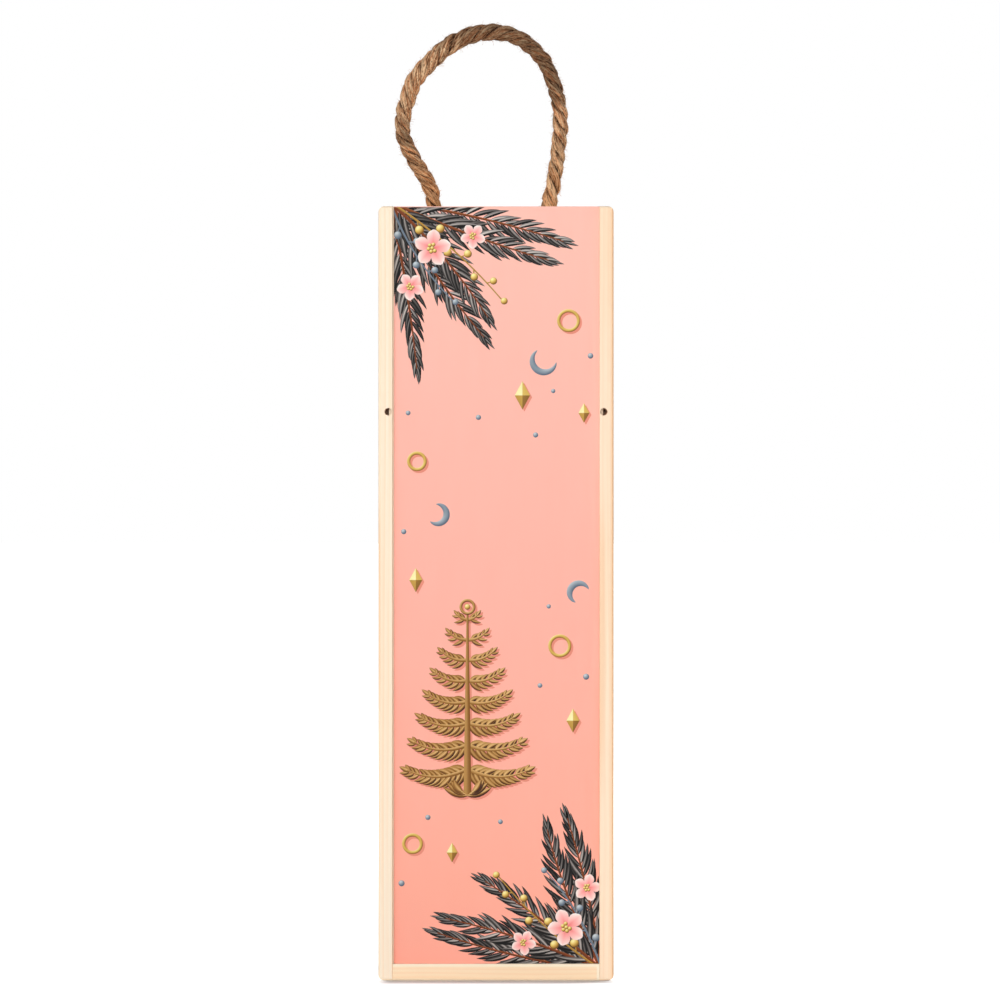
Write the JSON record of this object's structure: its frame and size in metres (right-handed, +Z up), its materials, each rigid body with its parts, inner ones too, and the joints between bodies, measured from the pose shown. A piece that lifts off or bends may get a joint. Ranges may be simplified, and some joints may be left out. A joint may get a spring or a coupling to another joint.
{
  "type": "wooden wine box with a sliding lid",
  "caption": "Tall pale wooden wine box with a front lid that slides up out of a groove, small pin holes in the front edges and a rope loop handle on top.",
  "frame": {"origin": "the middle of the box's underside, where it stands", "axes": "+Z up along the box's height; the lid and the open front face -Y, and +X is to the right as one looks at the lid"},
  "size_m": [0.107, 0.1, 0.438],
  "materials": {
    "pine": "planed and sanded, unfinished",
    "panel": "thin planed panel, unfinished",
    "printed_lid": "matt printed face over bare wood",
    "brads": "plain wire steel",
    "jute": "three-strand twisted jute, fuzzy"
  },
  "bodies": {
    "box": {"left_side": "pine", "right_side": "pine", "bottom_end": "pine", "top_end": "pine", "back_panel": "panel", "left_top_brads": "brads", "left_bottom_brads": "brads", "right_top_brads": "brads", "right_bottom_brads": "brads", "left_rope_end": "jute", "right_rope_end": "jute", "left_rope_knot": "jute", "right_rope_knot": "jute"},
    "lid": {"sliding_lid": "printed_lid"},
    "handle": {"rope_handle": "jute"}
  },
  "joints": [
    {"name": "lid_slide", "type": "slide", "parent": "box", "child": "lid", "axis": [0, 0, 1], "range_m": [0, 0.35]},
    {"name": "handle_lean", "type": "hinge", "parent": "box", "child": "handle", "pos_m": [0, 0, 0.3556], "axis": [-1, 0, 0], "range_deg": [-25, 88]}
  ]
}
